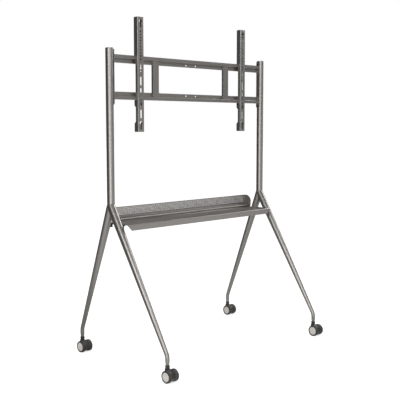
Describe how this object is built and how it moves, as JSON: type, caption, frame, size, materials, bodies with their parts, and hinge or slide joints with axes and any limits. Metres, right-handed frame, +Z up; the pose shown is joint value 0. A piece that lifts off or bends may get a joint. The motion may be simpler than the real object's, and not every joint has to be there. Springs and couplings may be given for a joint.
{
  "type": "mobile tv stand",
  "caption": "Mobile television stand: two posts on splayed tapered legs with twin-wheel casters, sliding hook-on screen arms on stepped rails and a folded metal tray.",
  "frame": {"origin": "on the floor, under the middle of the stand's footprint", "axes": "+X to the right seen from the screen side, +Y to the back, +Z up; the screen hangs on the -Y side"},
  "size_m": [1.245, 0.7724, 1.8235],
  "materials": {
    "grey_paint": "satin warm grey metallic powder coat",
    "black_steel": "black oxide",
    "bare_steel": "zinc plated",
    "black_plastic": "moulded nylon",
    "wheel_plastic": "soft polyurethane tread",
    "cap_plastic": "satin warm white"
  },
  "bodies": {
    "stand": {"carrier_bolts": "black_steel", "end_plate_left": "grey_paint", "end_plate_right": "grey_paint", "front_leg_left": "grey_paint", "front_leg_right": "grey_paint", "lower_rail": "grey_paint", "post_cap_left": "grey_paint", "post_cap_right": "grey_paint", "post_left": "grey_paint", "post_right": "grey_paint", "rear_leg_left": "grey_paint", "rear_leg_right": "grey_paint", "stem_front_left": "bare_steel", "stem_front_right": "bare_steel", "stem_rear_left": "bare_steel", "stem_rear_right": "bare_steel", "stile_left": "grey_paint", "stile_right": "grey_paint", "tray": "grey_paint", "tray_lug_front_left": "black_steel", "tray_lug_front_right": "black_steel", "tray_lug_rear_left": "black_steel", "tray_lug_rear_right": "black_steel", "tray_screws": "black_steel", "upper_rail": "grey_paint"},
    "tv_arm_left": {"tv_arm_left": "grey_paint", "arm_lock_bolt_left": "black_steel"},
    "tv_arm_right": {"tv_arm_right": "grey_paint", "arm_lock_bolt_right": "black_steel"},
    "caster_front_left": {"hood_front_left": "black_plastic", "axle_front_left": "bare_steel", "pedal_pin_front_left": "bare_steel"},
    "wheel_front_left_left": {"wheel_front_left_left": "wheel_plastic", "hub_cap_front_left_left": "cap_plastic"},
    "wheel_front_left_right": {"wheel_front_left_right": "wheel_plastic", "hub_cap_front_left_right": "cap_plastic"},
    "brake_pedal_front_left": {"brake_pedal_front_left": "black_plastic"},
    "caster_rear_left": {"hood_rear_left": "black_plastic", "axle_rear_left": "bare_steel"},
    "wheel_rear_left_left": {"wheel_rear_left_left": "wheel_plastic", "hub_cap_rear_left_left": "cap_plastic"},
    "wheel_rear_left_right": {"wheel_rear_left_right": "wheel_plastic", "hub_cap_rear_left_right": "cap_plastic"},
    "caster_front_right": {"hood_front_right": "black_plastic", "axle_front_right": "bare_steel", "pedal_pin_front_right": "bare_steel"},
    "wheel_front_right_left": {"wheel_front_right_left": "wheel_plastic", "hub_cap_front_right_left": "cap_plastic"},
    "wheel_front_right_right": {"wheel_front_right_right": "wheel_plastic", "hub_cap_front_right_right": "cap_plastic"},
    "brake_pedal_front_right": {"brake_pedal_front_right": "black_plastic"},
    "caster_rear_right": {"hood_rear_right": "black_plastic", "axle_rear_right": "bare_steel"},
    "wheel_rear_right_left": {"wheel_rear_right_left": "wheel_plastic", "hub_cap_rear_right_left": "cap_plastic"},
    "wheel_rear_right_right": {"wheel_rear_right_right": "wheel_plastic", "hub_cap_rear_right_right": "cap_plastic"}
  },
  "joints": [
    {"name": "tv_arm_left_slide", "type": "slide", "parent": "stand", "child": "tv_arm_left", "axis": [1, 0, 0], "range_m": [-0.12, 0.3]},
    {"name": "tv_arm_right_slide", "type": "slide", "parent": "stand", "child": "tv_arm_right", "axis": [-1, 0, 0], "range_m": [-0.12, 0.3]},
    {"name": "caster_front_left_swivel", "type": "hinge", "parent": "stand", "child": "caster_front_left", "pos_m": [-0.59, -0.3345, 0.07], "axis": [0, 0, 1], "continuous": true},
    {"name": "wheel_front_left_left_spin", "type": "hinge", "parent": "caster_front_left", "child": "wheel_front_left_left", "pos_m": [-0.59, -0.3545, 0.03175], "axis": [1, 0, 0], "continuous": true},
    {"name": "wheel_front_left_right_spin", "type": "hinge", "parent": "caster_front_left", "child": "wheel_front_left_right", "pos_m": [-0.59, -0.3545, 0.03175], "axis": [1, 0, 0], "continuous": true},
    {"name": "brake_pedal_front_left_tilt", "type": "hinge", "parent": "caster_front_left", "child": "brake_pedal_front_left", "pos_m": [-0.59, -0.3725, 0.047], "axis": [-1, 0, 0], "range_deg": [0, 18]},
    {"name": "caster_rear_left_swivel", "type": "hinge", "parent": "stand", "child": "caster_rear_left", "pos_m": [-0.59, 0.3745, 0.07], "axis": [0, 0, 1], "continuous": true},
    {"name": "wheel_rear_left_left_spin", "type": "hinge", "parent": "caster_rear_left", "child": "wheel_rear_left_left", "pos_m": [-0.59, 0.3545, 0.03175], "axis": [1, 0, 0], "continuous": true},
    {"name": "wheel_rear_left_right_spin", "type": "hinge", "parent": "caster_rear_left", "child": "wheel_rear_left_right", "pos_m": [-0.59, 0.3545, 0.03175], "axis": [1, 0, 0], "continuous": true},
    {"name": "caster_front_right_swivel", "type": "hinge", "parent": "stand", "child": "caster_front_right", "pos_m": [0.59, -0.3345, 0.07], "axis": [0, 0, 1], "continuous": true},
    {"name": "wheel_front_right_left_spin", "type": "hinge", "parent": "caster_front_right", "child": "wheel_front_right_left", "pos_m": [0.59, -0.3545, 0.03175], "axis": [1, 0, 0], "continuous": true},
    {"name": "wheel_front_right_right_spin", "type": "hinge", "parent": "caster_front_right", "child": "wheel_front_right_right", "pos_m": [0.59, -0.3545, 0.03175], "axis": [1, 0, 0], "continuous": true},
    {"name": "brake_pedal_front_right_tilt", "type": "hinge", "parent": "caster_front_right", "child": "brake_pedal_front_right", "pos_m": [0.59, -0.3725, 0.047], "axis": [-1, 0, 0], "range_deg": [0, 18]},
    {"name": "caster_rear_right_swivel", "type": "hinge", "parent": "stand", "child": "caster_rear_right", "pos_m": [0.59, 0.3745, 0.07], "axis": [0, 0, 1], "continuous": true},
    {"name": "wheel_rear_right_left_spin", "type": "hinge", "parent": "caster_rear_right", "child": "wheel_rear_right_left", "pos_m": [0.59, 0.3545, 0.03175], "axis": [1, 0, 0], "continuous": true},
    {"name": "wheel_rear_right_right_spin", "type": "hinge", "parent": "caster_rear_right", "child": "wheel_rear_right_right", "pos_m": [0.59, 0.3545, 0.03175], "axis": [1, 0, 0], "continuous": true}
  ]
}
